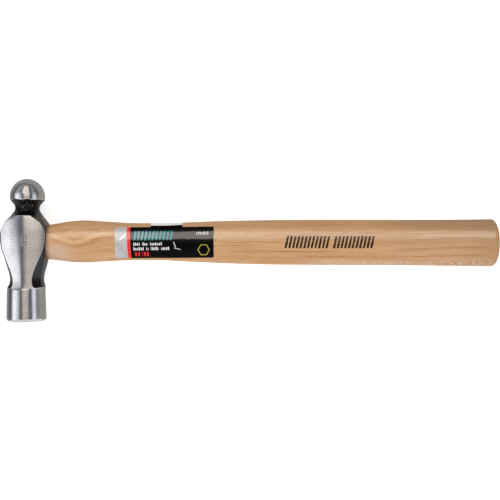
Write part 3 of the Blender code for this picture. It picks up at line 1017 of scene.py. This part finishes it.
def hexagon_ring(g, s, h):
    """A plain hexagonal outline near the label's right end."""
    x = g.minus(s, 126.6)
    y = g.minus(h, -6.1)
    reach = g.math("ABSOLUTE", y)
    for angle in (math.pi / 6, -math.pi / 6):
        side = g.add(g.times(x, math.cos(angle)), g.times(y, math.sin(angle)))
        reach = g.most(reach, g.math("ABSOLUTE", side))
    return g.times(g.step(reach, 3.85, 3.7), g.step(reach, 3.05, 3.2))


def painted_crease_glints(g, s, h):
    """Two small painted glints off creases in the film."""
    first = g.times(g.bump_at(g.add(s, g.times(h, 0.35)), 105.4, 0.55),
                    box_mask(g, s, h, 102, 110, -4.1, -0.4, 0.5))
    second = g.times(g.bump_at(g.add(h, g.times(s, 0.25)), 21.9, 0.4),
                     box_mask(g, s, h, 105.9, 110.4, -6.2, -3.8, 0.5))
    return g.most(first, second)


# ---------------------------------------------------------------- studio

def srgb(*values):
    """8-bit display values to linear ones."""
    return tuple(v / 12.92 if v <= 0.04045 else ((v + 0.055) / 1.055) ** 2.4
                 for v in (value / 255 for value in values))


def add_panels(g, tilt, light, panels):
    """Soft-edged panels over a plain light: where each starts, is full, fades and ends, in degrees."""
    for start, full, fade, end, color in panels:
        light = g.mix(g.between(tilt, start, full, fade, end), light, color)
    return light


def studio_light(g, tilt, lean):
    """The light from a direction, by its tilt towards the butt and its lean towards the ball."""
    low = add_panels(g, tilt, srgb(139, 137, 134), (
        (-128, -97, 70, 90, srgb(86, 87, 95)),  # dark from side to side
        (-86, -62, -56, -14, srgb(238, 240, 245)),  # left softbox
        (40, 58, 62, 82, srgb(208, 211, 219)),  # right softbox
        (-16, -2, 12, 38, srgb(178, 169, 163))))  # warm panel overhead
    # The same three without the warm one, fainter, towards the ball
    high = add_panels(g, tilt, srgb(139, 137, 133), (
        (-125, -85, 82, 112, srgb(92, 92, 94)),
        (-84, -62, -58, -14, srgb(132, 133, 136)),
        (36, 54, 56, 78, srgb(131, 132, 133))))
    light = g.mix(g.step(lean, 0, 30), low, high)
    slot = g.times(g.bump_at(tilt, 90, 11), g.between(lean, -3, 3, 20, 40), 0.9)
    light = g.mix(slot, light, srgb(78, 78, 80))
    left = g.add(-5, g.times(g.step(lean, 12, 26), -12))
    warm = g.times(g.step(g.minus(tilt, left), -10, 0), g.step(tilt, 31, 20),
                   g.between(lean, -3, 16, 56, 84))
    light = g.mix(warm, light, srgb(218, 209, 200))
    foot = g.times(g.step(lean, -14, -40), 0.85)
    return g.mix(foot, light, srgb(214, 214, 216))


def studio_world():
    """A world of soft panels, with straight up as 0 for both of its angles."""
    world = bpy.data.worlds.new("studio")
    bpy.context.scene.world = world
    world.use_nodes = True
    g = Graph(world.node_tree)
    direction = g.axes(g.node("TexCoord").outputs["Generated"])
    tilt = g.times(g.math("ARCTAN2", direction[0], direction[2]), 180 / math.pi)
    lean = g.times(g.math("ARCSINE", direction[1]), 180 / math.pi)
    background = world.node_tree.nodes["Background"]
    g.feed(background.inputs["Color"], studio_light(g, tilt, lean))
    background.inputs["Strength"].default_value = WORLD_STRENGTH


def area_light(name, pieces, direction, size, radiance, color=(1, 1, 1), sheen_only=False):
    """A soft rectangular light on these pieces alone, with its sides along and across X."""
    data = bpy.data.lights.new(name, "AREA")
    data.shape = "RECTANGLE"
    data.size, data.size_y = size
    data.energy = radiance * math.pi * size[0] * size[1]
    data.color = color
    light = bpy.data.objects.new(name, data)
    direction = Vector(direction).normalized()
    light.location = direction * LIGHT_DISTANCE
    light.rotation_euler = (math.atan2(-direction.y, direction.z), 0, 0)
    light.visible_glossy = sheen_only
    light.visible_diffuse = not sheen_only
    light.visible_camera = False
    bpy.context.scene.collection.objects.link(light)
    receivers = bpy.data.collections.new(name + "_receivers")
    for piece in pieces:
        receivers.objects.link(piece)
    light.light_linking.receiver_collection = receivers


def studio_object(name, builder, material):
    """An object of the studio from a filled mesh builder."""
    mesh = bpy.data.meshes.new(name)
    builder.to_mesh(mesh)
    builder.free()
    mesh.materials.append(material)
    return new_object(name, mesh)


def make_floor():
    """A pale floor under the hammer."""
    material, g = new_material("pale_floor", Roughness=0.9, Specular_IOR_Level=0,
                               Emission_Color=(1, 1, 1, 1), Emission_Strength=FLOOR_GLOW)
    tint = g.noise(g.node("TexCoord").outputs["Object"], 3, 2)
    g.shade(Base_Color=g.mix(tint, (0.93, 0.93, 0.93), (0.95, 0.95, 0.95)))
    builder = bmesh.new()
    bmesh.ops.create_grid(builder, x_segments=2, y_segments=2, size=FLOOR_HALF)
    floor = studio_object("floor", builder, material)
    floor.visible_glossy = False


def make_surround():
    """A plain pale sphere round everything, seen by the camera alone."""
    material = bpy.data.materials.new("pale_surround")
    material.use_nodes = True
    nodes = material.node_tree.nodes
    nodes.remove(nodes["Principled BSDF"])
    g = Graph(material.node_tree)
    glow = g.node("Emission", {"Color": (0.93, 0.93, 0.93, 1)})
    g.feed(nodes["Material Output"].inputs["Surface"], glow.outputs[0])
    builder = bmesh.new()
    bmesh.ops.create_uvsphere(builder, u_segments=48, v_segments=24, radius=SURROUND_RADIUS)
    surround = studio_object("surround", builder, material)
    for ray in ("diffuse", "glossy", "transmission", "volume_scatter", "shadow"):
        setattr(surround, "visible_" + ray, False)


def make_camera():
    """A camera that looks straight down on the hammer."""
    data = bpy.data.cameras.new("camera")
    data.sensor_width = SENSOR_WIDTH
    data.lens = CAMERA_LENS
    camera = bpy.data.objects.new("camera", data)
    camera.location = world_points([CAMERA])[0]
    bpy.context.scene.collection.objects.link(camera)
    bpy.context.scene.camera = camera


def finish_piece(piece, material, node):
    """Give a piece its material and body, and hide the part of model.glb that it replaces."""
    piece.data.materials.clear()
    piece.data.materials.append(material)
    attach(piece, "root")
    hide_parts(node)


def main():
    """Build the pieces and the studio."""
    wedge_steel = wedge_steel_material()
    head = make_head()
    handle = make_handle(head)
    finish_piece(handle, hickory_material(), "handle")
    finish_piece(head, steel_material(), "head")
    finish_piece(make_wood_wedge(), wedge_wood_material(), "wood_wedge")
    for name, side, node in (("peen_side_wedge", 1, "steel_wedge_peen_side"),
                             ("face_side_wedge", -1, "steel_wedge_face_side")):
        finish_piece(make_steel_wedge(name, side), wedge_steel, node)
    label = make_label()
    finish_piece(label, sticker_material(), "label")
    studio_world()
    area_light("overhead", (head, handle, label), (0, 0.05, 1), (1.6, 1.5), 1.5)
    area_light("warm_strip", (label,), (0, 0.43, 0.90), (1.8, 0.75), 30, (1, 0.9, 0.8), True)
    area_light("cool_strip", (handle,), (0, 0.45, 0.89), (1.8, 0.6), 17, (0.75, 0.95, 1), True)
    make_floor()
    make_surround()
    make_camera()
    bpy.context.scene.view_settings.view_transform = "Standard"


main()
